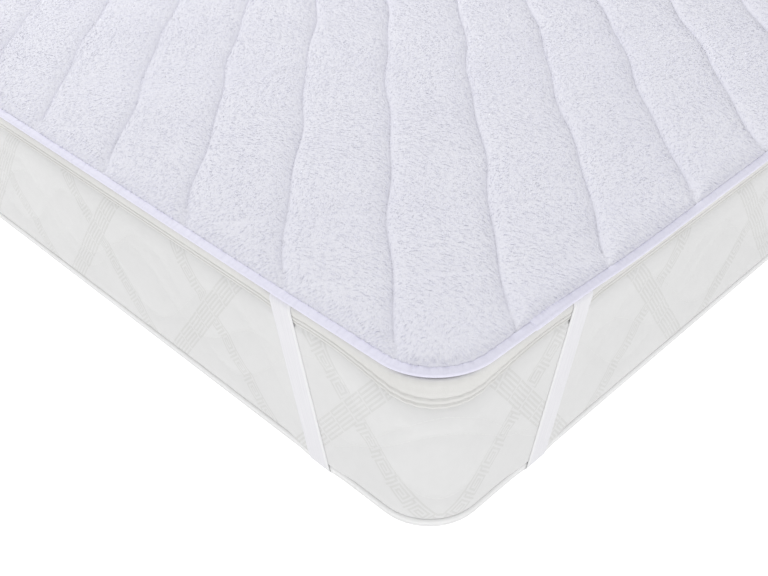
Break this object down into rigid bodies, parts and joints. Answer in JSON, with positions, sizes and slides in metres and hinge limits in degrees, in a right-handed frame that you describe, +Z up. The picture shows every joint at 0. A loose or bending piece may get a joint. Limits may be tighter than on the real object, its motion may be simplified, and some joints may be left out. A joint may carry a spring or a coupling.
{
  "type": "mattress protector on mattress",
  "caption": "Diamond-quilted fleece mattress protector with bound edge and elastic corner bands, fitted over a plain mattress.",
  "frame": {"origin": "centre of the mattress's underside, on the surface that it stands on", "axes": "+X along the mattress towards its foot end, +Y across it, +Z up"},
  "size_m": [2.0119, 1.4166, 0.2311],
  "materials": {
    "fleece": "soft brushed pile, matt",
    "binding": "smooth plain weave with a slight sheen",
    "elastic": "flat ribbed elastic",
    "ticking": "quilted woven ticking, matt",
    "tape": "woven edge tape"
  },
  "bodies": {
    "root": {"pad": "fleece", "binding": "binding", "strap_foot_right": "elastic", "strap_foot_left": "elastic", "strap_head_left": "elastic", "strap_head_right": "elastic", "mattress_body": "ticking", "mattress_top_tape": "tape", "mattress_bottom_tape": "tape"}
  },
  "joints": []
}
